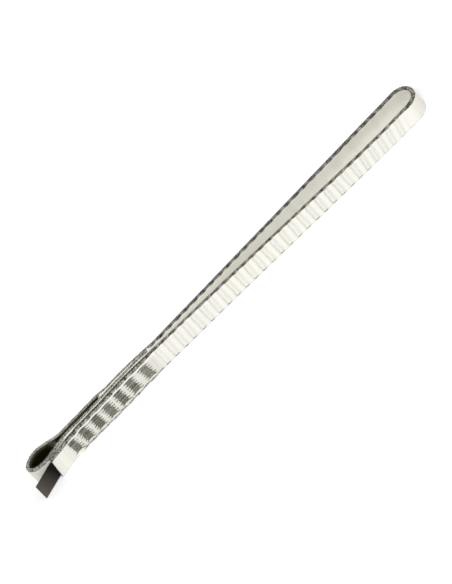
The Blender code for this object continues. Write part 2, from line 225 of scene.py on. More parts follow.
def bezier(start, start_handle, end_handle, end, steps):
    corners = (start, start_handle, end_handle, end)
    points = []
    for step in range(1, steps + 1):
        t = step / steps
        weights = ((1 - t) ** 3, 3 * t * (1 - t) ** 2, 3 * t * t * (1 - t), t**3)
        points.append(tuple(sum(w * c[k] for w, c in zip(weights, corners)) for k in (0, 1)))
    return points


def level_bezier(start, start_reach, end_reach, end, steps):
    """A curve that leaves both its ends along x, with handles of the given reaches."""
    start_handle = (start[0] + start_reach, start[1])
    return bezier(start, start_handle, (end[0] + end_reach, end[1]), end, steps)


def step_path(start_y, end_y, start, end):
    points = []
    for step in range(EASE_STEPS + 1):
        t = step / EASE_STEPS
        eased = t * t * (3 - 2 * t)
        points.append((start + (end - start) * t, start_y + (end_y - start_y) * eased))
    return points


def eye_path():
    """The small eye's strap, from the middle layer round to the back layer."""
    wide_x = SEWN_START - EYE_LENGTH + EYE_ROUND_LENGTH
    centre_y = NECK_Y + EYE_OFFSET
    reach = EYE_OUTER_WIDTH / 2 - HALF
    long_half = EYE_ROUND_LENGTH - HALF
    tip_x = wide_x - long_half
    taper = SEWN_START - wide_x
    quarter = 4 / 3 * (sqrt(2) - 1)
    # the round end's two quarters, each from the eye's widest place to its tip
    front, back = (
        (
            (wide_x, y), (wide_x - quarter * long_half, y),
            (tip_x, centre_y + quarter * (y - centre_y)), (tip_x, centre_y),
        )
        for y in (centre_y - reach, centre_y + reach)
    )
    near, far = (share * taper for share in EYE_FRONT_HANDLE_SHARES)
    path = [(SEWN_START, 0.0)]
    path += level_bezier(path[0], -near, far, front[0], EYE_STEPS)
    path += bezier(*front, EYE_STEPS) + bezier(*back[::-1], EYE_STEPS)
    near, far = (share * taper for share in EYE_BACK_HANDLE_SHARES)
    return path + level_bezier(
        back[0], far, -near, (SEWN_START, LAYER_PITCH + LINER_PUSH), EYE_STEPS
    )


def loop_path():
    """The long loop's strap, from the front layer round to the back layer."""
    radius = LOOP_OUTER_WIDTH / 2 - HALF
    x, y = LOOP_REACH - LOOP_OUTER_WIDTH / 2, LOOP_DRIFT
    near, far = (share * (x - FORK_X) for share in LOOP_HANDLE_SHARES)
    path = [(FORK_X, -LAYER_PITCH)]
    path += level_bezier(path[0], near, -far, (x, y - radius), RUN_STEPS)
    turns = (-pi / 2 + pi * step / BEND_STEPS for step in range(1, BEND_STEPS + 1))
    path += [(x + radius * cos(a), y + radius * sin(a)) for a in turns]
    return path + level_bezier((x, y + radius), -far, near, (FORK_X, LAYER_PITCH), RUN_STEPS)


# The end flap's angle in plan
FLAP_BULGE = NECK_Y + EYE_OFFSET - EYE_OUTER_WIDTH / 2 + HALF
FLAP_ANGLE = pi + atan2(-FLAP_BULGE, FLAP_REACH)


def on_flap(along, side):
    """The point in plan at a distance along the flap, and to the side towards the eye."""
    out_x, out_y = cos(FLAP_ANGLE), sin(FLAP_ANGLE)
    x, y = FLAP_HINGE
    return x + along * out_x + side * out_y, y + along * out_y - side * out_x


def path_lengths(points):
    return np.concatenate([[0], np.cumsum(np.hypot(*np.diff(points, axis=0).T))])


def along_path(length, lengths, pairs):
    """The pairs of numbers that a path has at lengths along it."""
    return np.stack([np.interp(length, lengths, pairs[:, k]) for k in (0, 1)], axis=-1)


def spread_weights(spread):
    """The weights that smooth a row of even steps, and how many reach to each side."""
    reach = int(4 * spread / ROUTE_STEP)
    weights = bump(np.arange(-reach, reach + 1) * ROUTE_STEP, 0, spread * sqrt(2))
    return weights / weights.sum(), reach


def rounded(points, marks):
    """Even steps along a path, and its points there, with its corners rounded off."""
    where = np.linspace(0, marks[-1], int(marks[-1] / ROUTE_STEP) + 1)
    even = along_path(where, marks, points)
    weights, reach = spread_weights(ROUTE_SPREAD)
    before = 2 * even[0] - even[reach:0:-1]
    after = 2 * even[-1] - even[-2 : -reach - 2 : -1]
    longer = np.vstack([before, even, after])
    return where, np.column_stack([np.convolve(longer[:, k], weights, "valid") for k in (0, 1)])


def tangents(points, lengths):
    along = np.gradient(points, lengths, axis=0)
    return along / np.hypot(*along.T)[:, None]


def strap_route():
    """The strap's middle in plan: lengths, the points there, and the span of each stretch."""
    front_lifted, front_plain = -LAYER_PITCH - LABEL_PUSH, -LAYER_PITCH
    back_lifted, back_plain = LAYER_PITCH + LINER_PUSH, LAYER_PITCH
    stretches = {
        "flap": [on_flap(FLAP_REACH, 0), FLAP_HINGE, (SEWN_START, front_lifted)],
        "front": [(SEWN_START, front_lifted)] + step_path(front_lifted, front_plain, *FRONT_STEP),
        "loop": loop_path(),
        "back": [(FORK_X, back_plain)] + step_path(back_plain, back_lifted, *BACK_STEP),
        "eye": eye_path()[::-1],
        "middle": [(SEWN_START, 0.0), (MIDDLE_LAYER_END, 0.0)],
    }
    raw, firsts = [], []
    for points in stretches.values():
        firsts.append(len(raw))
        raw += points
    marks = path_lengths(raw)
    limits = [*marks[firsts], marks[-1]]
    spans = dict(zip(stretches, zip(limits, limits[1:])))
    where, even = rounded(np.array(raw), marks)
    past_far = passing(sum(spans["loop"]) / 2, FAR_HANDOVER, where)
    past_eye = passing(sum(spans["eye"]) / 2, EYE_HANDOVER, where)
    tables = (SETTLE_FRONT, SETTLE_BACK, SETTLE_MIDDLE)
    front, back, middle = (at_places(table, even[:, 0]) * MM for table in tables)
    shift = front * (1 - past_far) + back * past_far * (1 - past_eye) + middle * past_eye
    weights, reach = spread_weights(SETTLE_SPREAD)
    even[:, 1] += np.convolve(np.pad(shift, reach, mode="edge"), weights, "valid")
    even[:, 1] += BOW * bump(even[:, 0], BOW_PLACE, BOW_SPREAD)
    return where, even, spans


LENGTHS, ROUTE, SPANS = strap_route()
TANGENTS = tangents(ROUTE, LENGTHS)
FAR_BEND, EYE_BEND = sum(SPANS["loop"]) / 2, sum(SPANS["eye"]) / 2


def at(length):
    """The route's point and the direction to its inner side, at lengths along it."""
    along = along_path(length, LENGTHS, TANGENTS)
    inner = np.stack([-along[..., 1], along[..., 0]], axis=-1)
    return along_path(length, LENGTHS, ROUTE), inner / np.linalg.norm(inner, axis=-1)[..., None]


def stretch_points(stretch, overlap=0.0):
    """A stretch's lengths, places along the sling and y there, in the places' order."""
    first, last = SPANS[stretch]
    inside = (LENGTHS >= first - overlap) & (LENGTHS <= last + overlap)
    order = np.argsort(ROUTE[inside, 0])
    return LENGTHS[inside][order], *ROUTE[inside][order].T


def length_at(stretch, x):
    """The length at which a long stretch passes a place along the sling."""
    lengths, places, _ = stretch_points(stretch)
    return float(np.interp(x, places, lengths))


# ---- mesh helpers

SHARP_ANGLE = radians(50)


def leaning(points):
    """The points with their lower parts moved to the front or back, as the sling leans."""
    points = np.array(points).reshape(-1, 3)
    x, y, z = points.T
    lean = at_places(LEAN, x) * MM
    lean += at_places(BACK_RUN_LEAN, x) * MM * over(*BACK_RUN_Y, y)
    points[:, 1] -= lean * (1 - z / STRAP_WIDTH)
    return points


def link_object(name, data):
    obj = bpy.data.objects.new(name, data)
    bpy.context.scene.collection.objects.link(obj)
    return obj


def new_piece(name, points, faces, values, sharp=SHARP_ANGLE):
    """A piece of points and faces, with one number per point for each of its values."""
    mesh = bpy.data.meshes.new(name)
    mesh.from_pydata(leaning(points).tolist(), [], faces)
    mesh.validate()
    mesh.shade_smooth()
    mesh.set_sharp_from_angle(angle=sharp)
    for key, numbers in values.items():
        numbers = np.broadcast_to(numbers, points.shape[:-1]).astype(np.float32)
        mesh.attributes.new(key, "FLOAT", "POINT").data.foreach_set("value", numbers.ravel())
    return link_object(name, mesh)


def upright(xy, z):
    """Points from their places in plan and heights that are the same in every ring."""
    return np.concatenate([xy, np.broadcast_to(z, xy.shape[:2])[..., None]], axis=-1)


def rings(first, last, step):
    return np.linspace(first, last, int((last - first) / step) + 1)


def tube_faces(count, around, first=0):
    """The faces of a closed tube of rings, without its ends."""
    faces = []
    for low in range(first, first + (count - 1) * around, around):
        high = low + around
        for corner in range(around):
            following = (corner + 1) % around
            faces.append((low + corner, high + corner, high + following, low + following))
    return faces


# A band's outline: sideways, up, outward direction, and distance round from the outer face, at each
# point, then half the height of its flat faces and the radius of its edges
Section = namedtuple("Section", "side up side_out up_out around flat radius")


def band_section(outer_steps, inner_steps, edge_steps, width, thickness):
    radius = thickness / 2
    flat = width / 2 - radius
    edge = pi * radius
    turns = [pi * step / edge_steps for step in range(edge_steps)]
    turns = [(a, cos(a), sin(a)) for a in turns]
    rising = [-flat + 2 * flat * step / outer_steps for step in range(outer_steps)]
    falling = [flat - 2 * flat * step / inner_steps for step in range(inner_steps)]
    rows = [(-radius, u, -1, 0, u) for u in rising]
    rows += [(-radius * c, flat + radius * s, -c, s, flat + radius * a) for a, c, s in turns]
    rows += [(radius, u, 1, 0, 2 * flat + edge - u) for u in falling]
    rows += [(radius * c, -flat - radius * s, c, -s, 3 * flat + edge + radius * a) for a, c, s in turns]
    return Section(*np.array(rows).T, flat, radius)


def cap_faces(section_up, first, flip):
    """Closes a band's end by joining its outer and its inner half, from the bottom to the top."""
    count = len(section_up)
    top, bottom = int(np.argmax(section_up)), int(np.argmin(section_up))
    outer = [(bottom + i) % count for i in range(1, (top - bottom) % count + 1)]
    inner = [(bottom - i) % count for i in range(1, (bottom - top) % count + 1)]
    reached = [bottom, bottom]
    faces = []
    for _, half, point in sorted((section_up[p], k, p) for k in (0, 1) for p in (outer, inner)[k]):
        corners = [reached[0], point, reached[1]]
        reached[half] = point
        if len(set(corners)) == 3:
            faces.append(tuple(first + c for c in (corners if flip else corners[::-1])))
    return faces


def band_faces(count, section_up, first=0):
    """The faces of a band of rings, with both its ends closed."""
    around = len(section_up)
    faces = tube_faces(count, around, first)
    faces += cap_faces(section_up, first, True)
    return faces + cap_faces(section_up, first + (count - 1) * around, False)


# ---- form of the strap


def run_place(length):
    """How far along the sling a length lies, measured along its own run past the fork."""
    first, last = SPANS["loop"]
    return FORK_X + np.where(length < FAR_BEND, length - first, last - length)


def wander(length, up):
    """How far a ridge's line strays along the strap at a height on it."""
    place = run_place(length)
    wave = 0.1 * MM * np.sin(up / (2.1 * MM) + place / (3.7 * MM))
    wave += 0.07 * MM * np.sin(up / (0.7 * MM) - place / (1.9 * MM))
    slant = 0.9 * MM * (up / (STRAP_WIDTH / 2)) * over(145, 180, place)
    strength = over(20, 30, place) * under(188, 196, place)
    return np.where(length < FAR_BEND, 1.0, -1.0) * (wave + slant) * strength


def cells(*values):
    """A repeatable number between 0 and 1 for each combination of whole numbers."""
    mixed = sum(np.asarray(value) * step for value, step in zip(values, (12.9898, 78.233, 37.719)))
    scaled = np.sin(mixed) * 43758.5453
    return scaled - np.floor(scaled)


def strap_grid(lengths, section):
    """A stretch of strap, as lengths along it by points around it, and where each point lies."""
    g = SimpleNamespace(section=section)
    shape = (len(lengths), len(section.up))
    g.length = np.broadcast_to(lengths[:, None], shape)
    strayed = g.length + wander(g.length, np.broadcast_to(section.up, shape))
    g.point, g.inner = at(np.clip(strayed, LENGTHS[0], LENGTHS[-1]))
    g.x = g.point[..., 0]
    g.place = run_place(g.length)
    g.height = section.up + STRAP_WIDTH / 2
    g.outer = smooth(0.8, 0.99, -section.side_out)[None, :]
    for stretch in ("flap", "front", "loop", "back", "eye"):
        first, last = SPANS[stretch]
        setattr(g, stretch, (g.length >= first) & (g.length < last))
    g.middle = g.length >= SPANS["middle"][0]
    g.run = g.front | g.loop | g.back
    g.on_front = g.length < FAR_BEND
    g.apart = over(25, 38, g.place)
    g.toward_fork = over(22, 31, g.x)
    return g


def add_ridges(g):
    """Across the outer face: a thin line, a weak crest, a trough and a strong crest, in turn,
    with painted shade on the line and in the trough, and painted light on the crests.
    """
    # the running number of a ridge is whole at each of the thin lines
    g.number = np.interp(g.place, LINES, np.arange(len(LINES)), left=-1.0)
    index = np.floor(g.number).astype(int)
    g.phase = g.number - index
    g.on_run = (g.place > EARLY_RIDGES[0]) & g.run
    g.fade = 1 - smooth(*RIDGE_FADE, g.place)
    early, start = over(26, 46, g.place), over(28.5, 34, g.place)
    slow = np.sin(index * 5.1 + g.section.up / (3 * MM))
    uneven = 0.9 + 0.25 * (cells(index, 1) - 0.5) + 0.1 * slow
    strength = g.on_run * g.fade * start * (0.55 + 0.45 * early) * uneven
    weak = WEAK_CREST + 0.05 * (cells(index, 2) - 0.5)
    trough = TROUGH + 0.06 * (cells(index, 3) - 0.5)
    nearest_line = np.minimum(g.phase, 1 - g.phase)
    crest = smooth(trough, CREST[0], g.phase) * (1 - smooth(CREST[1], 1.0, g.phase))
    second = bump(g.phase, weak, WEAK_CREST_WIDTH)
    groove = bump(nearest_line, 0, GROOVE_WIDTH)
    relief = CREST_HEIGHT * crest + WEAK_CREST_HEIGHT * second - GROOVE_DEPTH * groove
    g.rise = strength * g.outer * MM * relief
    # painted shade in the trough, and a little just after the line
    dip = 0.9 * bump(g.phase, trough, TROUGH_WIDTH) + 0.25 * bump(g.phase, 0.1, 0.1)
    g.low = strength * g.outer * clamp01(dip)
    # painted shade on the thin line
    line_fade = g.fade * (1 - 0.45 * over(158, 176, g.place))
    g.line = g.on_run * line_fade * uneven * g.outer * bump(nearest_line, 0, LINE_WIDTH)
    # painted light on the crests, and a painted highlight where the bend starts
    light = g.on_run * g.fade * start * np.maximum(crest, 0.6 * second) * g.outer
    before_bend = over(186.5, 189, g.place) * under(194, 197, g.place)
    g.light = np.maximum(light, g.on_run * before_bend * g.outer)


def add_sewing(g):
    """A hollow under each bartack, ribs that run out from its threads, and puffs at its ends, with
    painted shade in the gaps between the ribs and painted light on the puffs.
    """
    by_tacks = (g.x > SEWN_START - 2 * MM) & (g.place < 60 * MM)
    sewn = by_tacks & (g.flap | g.front | g.back) & (g.x < MIDDLE_LAYER_END)
    skewed = g.x + tack_skew(g.height)
    nearest = np.argmin([np.abs(skewed - centre) for centre in TACK_CENTRES], axis=0)
    signed = skewed - TACK_CENTRES[nearest]
    away = np.abs(signed)
    before_first = (nearest == 0) & (signed < 0)
    weaker = np.where(before_first, FIRST_RIBS_STRENGTH, 1.0)
    from_middle = np.abs(g.height - TACK_MIDDLE)
    in_width = 1 - smooth(0.47 * TACK_WIDTH, 0.55 * TACK_WIDTH, from_middle)
    pulled = under(1.7, 3.2, away) * in_width

    # ribs in line with the rows of thread, close to the bartack and fainter further off
    row = (g.height - TACK_MIDDLE) / ROW_PITCH + ROWS / 2 + 0.5
    row = row + 0.1 * np.sin(nearest * 2.3 + np.sign(signed))
    wave = np.cos(2 * pi * row)
    row = np.floor(row + 0.5).astype(int)
    reach = RIB_REACH + RIB_REACH_SPREAD * (cells(row, nearest, np.sign(signed)) - 0.5)
    reach -= before_first * FIRST_RIBS_SHORTER
    comb = over(1.1, 1.7, away) * (1 - smooth(reach, reach + RIB_END, away)) * in_width
    further = over(1.8, 2.4, away)
    faint = weaker * (further * under(3.2, 4.0, away) * in_width)
    on_face = (np.abs(g.section.side_out) > 0.7)[None, :]
    relief = -HOLLOW_DEPTH * pulled + (RIB_HEIGHT * comb + FAINT_RIB_HEIGHT * faint) * -wave
    g.rise += (sewn & on_face) * (MM * relief)

    # painted shade in the gaps between the ribs, on a dull ground
    top_row = (row == ROWS) * TOP_ROW_STRENGTHS[np.searchsorted(TACK_CENTRES, skewed)]
    top_row = top_row * further * under(4.0, 5.2, away)
    gap = smooth(-0.35, 0.75, wave) * clamp01(comb + 0.34 * faint + top_row)
    after_last = over(0.0, 1.0, signed) * (nearest == len(TACK_CENTRES) - 1)
    dull = GAP_DULLNESS * in_width * under(4.6, 5.8 + 4.4 * after_last, away)
    g.gap = np.maximum(sewn * gap, (by_tacks & g.run & (g.x < 36 * MM)) * (weaker * dull))

    beside = smooth(0.49 * TACK_WIDTH, 0.56 * TACK_WIDTH, from_middle)
    puff = sewn * under(1.6, 3.0, away) * beside
    g.rise += PUFF_HEIGHT * MM * puff * g.outer
    # painted light on the puffs
    g.light = np.maximum(g.light, puff * g.outer)
    g.at_tack = sewn * under(1.0, 3.4, away)


def add_folds(g):
    """Faint folds across the flap, near its end and near the first bartack, with painted shade in them.
    """
    folds = sum(depth * bump(g.x, place * MM, FOLD_WIDTH) for place, depth in FLAP_FOLDS)
    g.rise -= g.flap * (FOLD_DEPTH * folds * g.outer)
    g.low = np.maximum(g.low, g.flap * clamp01(0.45 * folds) * g.outer)


def add_twist(g):
    """Selvedges with a twisted edge. The rim is how far a point is from the middle of the nearer
    selvedge, and grows towards the outer face."""
    around, flat, radius = g.section[4:]
    top_middle = flat + pi * radius / 2
    total = 4 * flat + 2 * pi * radius
    from_top = around - top_middle
    from_low = np.where(around > 0, around - total, around) + top_middle
    g.use_top = (np.abs(from_top) < np.abs(from_low))[None, :]
    g.rim = np.broadcast_to(np.where(g.use_top, -from_top, from_low), g.length.shape)
    g.outside = g.rim > 0
    twist = np.sin(2 * pi * (g.length / TWIST_PITCH + g.rim / TWIST_LEAN))
    g.rise += TWIST_HEIGHT * twist * (1 - smooth(0.7 * radius, 1.5 * radius, np.abs(g.rim)))


def selvedge_margin(g):
    """How far the selvedge's dark threads reach from the middle of the edge, in mm."""
    scallop = g.on_run * np.cos(2 * pi * (g.phase - 0.22)) * g.fade
    sewn = np.where(g.on_front, 2.00 - 0.3 * g.at_tack, 1.25)
    loop = at_places(OUTER_REACH, g.place) + 0.13 * scallop
    top = sewn + (loop - sewn) * over(24.5, 31, g.place)
    heat_cut = under(30.7, 31.2, g.x)
    near_side = passing(EYE_BEND, 5 * MM, g.length) * under(-33, -29, g.x)
    top = np.where(g.middle, (0.92 + 0.3 * g.toward_fork) * heat_cut, top)
    top = np.where(g.eye, 1.22 + 0.4 * near_side, top)
    outer_top = np.where(g.flap, 1.6 + 0.35 * over(-36, -29, g.x), top)

    sewn = np.where(g.on_front, 1.2, 1.5 - 0.68 * smooth(LINER_END, LINER_END + 2 * MM, g.x))
    loop = 1.36 + 0.22 * over(110, 180, g.place) + 0.16 * scallop
    top = np.where(g.middle, 1.2 * heat_cut, sewn + (loop - sewn) * g.apart)
    inner_top = np.where(g.flap | g.eye, 1.5, top)

    # the lower selvedge shows dark dashes, one to each ridge
    sewn = 0.98 + (1.27 - 0.2 * g.at_tack) * smooth(SEWN_START, -20.5 * MM, g.x)
    around_line = np.where(g.phase > 0.9, g.phase - 1, g.phase)
    dash = smooth(-0.03, 0.03, around_line) * (1 - smooth(0.38, 0.5, g.phase))
    loop = 0.9 + np.where(g.on_run, dash, 0.2) * (1.05 - 0.35 * over(150, 180, g.place))
    low = np.where(g.run, sewn + (loop - sewn) * g.apart, sewn)
    outer_low = np.where(g.flap, 0.98, np.where(g.eye, 0.85, low))
    inner_low = np.where(g.place > 60 * MM, 0.6, 1.1)

    top = np.where(g.outside, outer_top, inner_top)
    return np.where(g.use_top, top, np.where(g.outside, outer_low, inner_low))


def selvedge_tone(g):
    """How light the selvedge's threads are, from 0 to 1."""
    turns = np.where(g.on_run, g.number, g.length / RIDGE_PITCH)
    streak = (0.5 + 0.5 * np.cos(2 * pi * (turns - 0.62 + g.rim / (4.2 * MM)))) ** 1.6
    arch = 0.5 + 0.5 * np.cos(2 * pi * (g.x + 7.8 * MM) / (4.93 * MM))
    lower = over(0.25, 1.3, g.rim)
    loop = 0.1 + 0.27 * streak + g.on_front * 0.05
    front = 0.6 * lower * (0.5 + 0.5 * arch)
    sewn = np.where(g.on_front, front, 0.42 + 0.12 * g.toward_fork)
    neck = bump(g.x, -29.5 * MM, 3.5 * MM) * (g.length > EYE_BEND)
    tone = np.where(g.flap | g.eye | g.middle, 0.42 - 0.17 * neck, sewn + (loop - sewn) * g.apart)
    tone = np.where(g.flap, 0.22 + 0.16 * lower, tone - g.middle * 0.06)
    low_front = (g.front | g.flap) & ~g.use_top & g.outside
    tone += low_front * (0.1 + 0.25 * under(-24, -18, g.x))

    # dark and light threads across the selvedge
    hatch = np.sin(2 * pi * (g.length / (1.02 * MM) + 0.5 * np.sin(g.rim / (0.45 * MM))))
    spots = cells(np.floor(g.length / (0.51 * MM)), np.floor(g.rim / (0.6 * MM))) - 0.5
    in_neck = g.eye & (g.x > -33 * MM) & (g.x < -24 * MM) & ~g.on_front
    speckle = in_neck * bump(g.x, -28.5 * MM, 2.6 * MM)
    busy = 0.4 + 0.6 * smooth(0.0, 0.3, tone)
    return clamp01(tone + busy * (0.15 * hatch + 0.7 * spots) + 0.35 * speckle)


def face_shades(g):
    """How much painted shade each point has, how much painted light, and how plainly it lies on
    the inner face, where patches of painted shade go.
    """
    inner = smooth(0.7, 0.95, g.section.side_out)[None, :] * over(60, 90, g.place)
    # painted shade on the inner face, growing towards its top
    share_up = clamp01(g.height / STRAP_WIDTH)
    far_part = over(110, 150, g.place)
    inner_shade = (1 - far_part) * (0.05 + 0.95 * share_up**1.8)
    inner_shade += far_part * smooth(0.28, 0.76, share_up)
    near_fork = 0.22 * g.outer * under(40, 110, g.place) * g.apart
    shade = g.run * (inner * inner_shade + near_fork)
    shade = np.where(g.eye, 0.9 * g.outer * over(-50, -42, g.x), shade)
    shade += g.on_run * (0.58 * g.outer * over(195, 199, g.place))
    flap = 0.12 + 0.55 * under(-36.5, -33.5, g.x) + 0.3 * over(-31, -29, g.x)
    shade = np.where(g.flap, flap * g.outer, shade)
    # painted light at the foot of the inner face
    light = np.maximum(g.light, g.run * (inner * under(0.5, 4.5, g.height)))
    inside = inner * over(1.5, 5.5, g.height) * over(85, 125, g.place)
    return shade, light, inside


def strap_points(g):
    side, up, side_out, up_out, _, flat, radius = g.section
    pressed = over(-32, -26, g.x) * under(31, 42, g.x)
    scale = 1 - (1 - PRESSED) * ((g.run | g.middle) * pressed)
    side_at = side * scale + side_out * g.rise
    # the lower selvedge is squarer than the upper one
    share = clamp01((flat - up) / (2 * flat))
    squarer = np.where(up < -flat, (1 - SQUARE_EDGE) * (-up - flat) / radius, 0.0)
    up_at = up - (1 - SQUARE_EDGE) * radius * share + squarer * radius + up_out * g.rise
    xy = g.point + g.inner * side_at[..., None]
    # the flap's cut end slants out towards its lower edge
    near_end = 1 - smooth(LENGTHS[0], LENGTHS[0] + FLAP_END_REACH, g.length)
    xy[..., 0] -= near_end * (FLAP_END_OUT - FLAP_END_SLANT * (g.height / STRAP_WIDTH - 0.5))
    return upright(xy, np.clip(up_at + STRAP_WIDTH / 2, 0.0, None))


# Where the strap's rings lie between one thin line and the next: close together at the line
RING_PHASES = (
    0, 0.02, 0.045, 0.09, 0.14, 0.2, 0.26, 0.31, 0.36, 0.42, 0.49, 0.56, 0.64, 0.72, 0.8, 0.88, 0.94,
    0.965, 0.985,
)
RING_STEP = 0.3 * MM
FLAP_RING_STEP = 0.25 * MM
EDGE_STEPS = 10


def ridge_lengths(first, last):
    """Lengths for the loop's rings, which follow the ridges on its runs and are even in its bend."""
    pairs = [pair for pair in zip(LINES, LINES[1:]) if pair[0] <= RIDGE_FADE[1]]
    places = np.array([a + phase * (b - a) for a, b in pairs for phase in RING_PHASES]) - FORK_X
    front = SPANS["loop"][0] + places
    back = (SPANS["loop"][1] - places)[::-1]
    bend = np.arange(front[-1] + RING_STEP, back[0] - RING_STEP / 2, RING_STEP)
    lengths = np.concatenate([front, bend, back])
    return lengths[(lengths >= first - 1e-9) & (lengths <= last + 1e-9)]


def strap_piece(name, lengths, outer_steps, inner_steps):
    section = band_section(outer_steps, inner_steps, EDGE_STEPS, STRAP_WIDTH, VISUAL_THICKNESS)
    g = strap_grid(lengths, section)
    for add in (add_ridges, add_sewing, add_folds, add_twist):
        add(g)
    shade, light, inside = face_shades(g)
    return new_piece(name, strap_points(g), band_faces(len(lengths), section.up), {
        "along": g.length / MM, "around": section.around / MM, "rim": g.rim / MM,
        "margin": selvedge_margin(g), "tone": selvedge_tone(g), "low": g.low, "line": g.line,
        "light": light, "gap": g.gap * g.outer, "shade": shade, "inside": inside,
    })


front_seam = SPANS["loop"][0] + EARLY_RIDGES[0] - FORK_X
back_seam = SPANS["loop"][1] - (EARLY_RIDGES[0] - FORK_X)
flap_piece = strap_piece("strap_front", rings(LENGTHS[0], front_seam, FLAP_RING_STEP), 44, 10)
loop_piece = strap_piece("strap_loop", ridge_lengths(front_seam, back_seam), 26, 14)
eye_piece = strap_piece("strap_eye", rings(back_seam, LENGTHS[-1], RING_STEP), 44, 12)


# ---- liner

LINER_THICKNESS = 0.42 * MM
LINER_VISIBLE = 0.8 * MM
LINER_NEAR_THINNER = 0.35 * MM
LINER_DEPTH = HALF + 0.12 * MM + LINER_THICKNESS / 2
LINER_RISE = 0.35 * MM
LINER_RING_STEP = 0.35 * MM
LINER_TURN = 4 * MM
NECK_THREADS, NECK_THREADS_WIDTH = -29.5 * MM, 1.6 * MM


def make_liner():
    """The liner, with the share of stray threads on it and how much painted light its upper edge has.
    """
    lengths = rings(length_at("back", LINER_END), length_at("middle", LINER_END), LINER_RING_STEP)
    section = band_section(12, 12, 6, LINER_WIDTH, LINER_THICKNESS)
    up = section.up
    point, inner = at(lengths)
    x = point[:, 0]
    far_side = 1 - passing(EYE_BEND, LINER_TURN, lengths)
    # a little thicker where it is on view in the eye
    in_eye = 1 - smooth(SEWN_START - 4.5 * MM, SEWN_START - 0.5 * MM, x)
    visible = LINER_VISIBLE - LINER_NEAR_THINNER * (1 - far_side)
    thicker = 1 + (visible / LINER_THICKNESS - 1) * in_eye
    depth = LINER_DEPTH + (thicker - 1) * LINER_THICKNESS / 2
    offset = depth[:, None] + section.side[None, :] * thicker[:, None]
    xy = point[:, None, :] + inner[:, None, :] * offset[..., None]
    # painted light makes its upper edge grey on the far side of the eye,
    # and a little so between the first bartacks
    painted_edge_light = far_side * under(-34, -30, x)
    painted_edge_light += 0.8 * over(-27, -24, x) * (1 - 0.6 * over(-13, -4, x))
    points = upright(xy, up + STRAP_WIDTH / 2 + np.where(up > 0, LINER_RISE, 0.0))
    return new_piece("liner_band", points, band_faces(len(lengths), up), {
        "along": lengths[:, None] / MM,
        "around": section.around / MM,
        "threads": bump(point[:, :1], NECK_THREADS, NECK_THREADS_WIDTH),
        "painted_edge_light": painted_edge_light[:, None] * over(3.4, 5.1, up)[None, :],
    })


liner_piece = make_liner()


# ---- label

LABEL_PLY, LABEL_PLY_GAP = 0.26 * MM, 0.05 * MM
LABEL_DEPTH = HALF + 0.4 * MM
LABEL_RING_STEP = 0.3 * MM
LABEL_SEAM = 5.0 * MM
FOLD_POINTS = 7


def label_route():
    """The label's middle in plan: lengths, points and normals there, and the corners' lengths."""
    sewn_y = FLAP_HINGE[1] + LABEL_DEPTH
    hinge = on_flap(FLAP_REACH + LABEL_HINGE_GAP, LABEL_DEPTH)
    angle = FLAP_ANGLE + LABEL_SPLAY
    tip = (hinge[0] + LABEL_FREE_LENGTH * cos(angle), hinge[1] + LABEL_FREE_LENGTH * sin(angle))
    raw = np.array([(LABEL_SEWN_END, sewn_y), (FLAP_HINGE[0], sewn_y), hinge, tip])
    marks = path_lengths(raw)
    lengths, points = rounded(raw, marks)
    along = tangents(points, lengths)
    return lengths, points, np.stack([-along[:, 1], along[:, 0]], axis=-1), marks


LABEL_LENGTHS, LABEL_LINE, LABEL_NORMALS, LABEL_MARKS = label_route()


def label_piece(name, first, last, folded):
    """A stretch of the folded label: two plies, joined by a fold where it ends free."""
    offset = (LABEL_PLY + LABEL_PLY_GAP) / 2
    lengths = rings(first, last, LABEL_RING_STEP)
    point = along_path(lengths, LABEL_LENGTHS, LABEL_LINE)
    normal = along_path(lengths, LABEL_LENGTHS, LABEL_NORMALS)
    # each ply as its points in plan, the directions out of it, and the lengths, there and back
    out_ply = (point + normal * offset, normal, lengths)
    in_ply = ((point - normal * offset)[::-1], -normal[::-1], lengths[::-1])
    bands = [out_ply, in_ply]
    if folded:
        end = normal[-1]
        ahead = np.array([end[1], -end[0]])
        turns = np.linspace(0, pi, FOLD_POINTS + 2)[1:-1]
        spokes = np.array([cos(t) * end + sin(t) * ahead for t in turns])
        fold = (point[-1] + offset * spokes, spokes, np.full(FOLD_POINTS, lengths[-1]))
        bands = [[np.concatenate(parts) for parts in zip(out_ply, fold, in_ply)]]
    section = band_section(20, 20, 4, LABEL_WIDTH, LABEL_PLY)
    side, up = section.side, section.up
    points, faces, alongs = [], [], []
    for centre, direction, mark in bands:
        faces += band_faces(len(centre), up, sum(map(len, points)))
        xy = centre[:, None, :] - direction[:, None, :] * side[None, :, None]
        points.append(upright(xy, up + LABEL_WIDTH / 2 + LABEL_LIFT).reshape(-1, 3))
        alongs.append(np.repeat(mark, len(up)))
    points = np.vstack(points)
    across = np.tile(up, len(points) // len(up))
    values = {"along": np.concatenate(alongs) / MM, "across": across / MM}
    return new_piece(name, points, faces, values)


label_split = LABEL_MARKS[1] + LABEL_SEAM
label_sewn = label_piece("label_held", 0.0, label_split, False)
label_free = label_piece("label_fold", label_split, LABEL_MARKS[-1], True)


# ---- bartacks

# Places, thread sizes as width and height, and lifts off the strap, in mm
UPRIGHTS = (-1.5, -0.9, -0.3, 0.3, 0.9, 1.5)
UPRIGHT_END, UPRIGHT_SINK, UPRIGHT_END_DIP, UPRIGHT_STRAY = 0.15, -0.08, 0.4, 0.02
UPRIGHT_THREAD, ROW_THREAD = (0.46, 0.24), (0.49, 0.28)
ROW_LEFT, ROW_RIGHT, ROW_END_STRAY, ROW_TILT, ROW_END_DIP = 2.25, 2.15, 0.35, 0.12, 0.4
ROW_PAIR = ((-0.25, 0.04), (0.25, 0.02))
UPRIGHT_POINTS, ROW_POINTS = 25, 19
FACE_OVERLAP = 10 * MM
THREAD_SHARP_ANGLE = radians(80)

